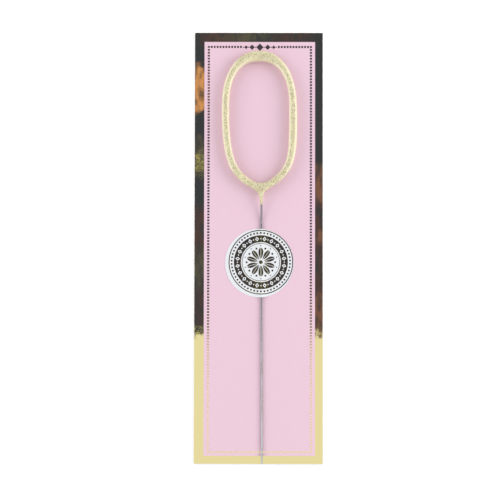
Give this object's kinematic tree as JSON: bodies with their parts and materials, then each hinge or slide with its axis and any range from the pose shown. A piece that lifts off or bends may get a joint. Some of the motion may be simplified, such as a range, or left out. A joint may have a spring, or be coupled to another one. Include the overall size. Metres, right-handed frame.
{
  "type": "number sparkler candle on a display card",
  "caption": "Wire sparkler bent into the number 0 with a long straight stem, held on a pink and gold card by a round label that bridges the stem.",
  "frame": {"origin": "middle of the card's underside, in the plane it rests on", "axes": "+Y along the card towards the number, +X across the card to the right as seen from the face, +Z out of the face"},
  "size_m": [0.075, 0.252, 0.0082],
  "materials": {
    "liner_paper": "uncoated white paper",
    "grey_board": "plain grey board, cut edges",
    "gold_foil": "mirror gold metallised paper",
    "pink_paper": "smooth matt pink paper with a line of hot-foil dots",
    "label_film": "gloss white label with dark bronze foil print",
    "steel_wire": "drawn steel, dull grey",
    "sparkler_mix": "pale gold metallic mix, finely grained and slightly lumpy"
  },
  "bodies": {
    "card": {"back_liner": "liner_paper", "backing_board": "grey_board", "gold_foil_sheet": "gold_foil", "pink_face_sheet": "pink_paper"},
    "label": {"round_label": "label_film"},
    "sparkler": {"core_wire": "steel_wire", "sparkler_coating": "sparkler_mix"}
  },
  "joints": [
    {"name": "sparkler_pull", "type": "slide", "parent": "card", "child": "sparkler", "axis": [-0.0044, 1, 0], "range_m": [0, 0.14]},
    {"name": "label_peel", "type": "hinge", "parent": "card", "child": "label", "pos_m": [-0.01953, -0.00934, 0.0018], "axis": [0.0044, -1, 0], "range_deg": [0, 150]}
  ]
}
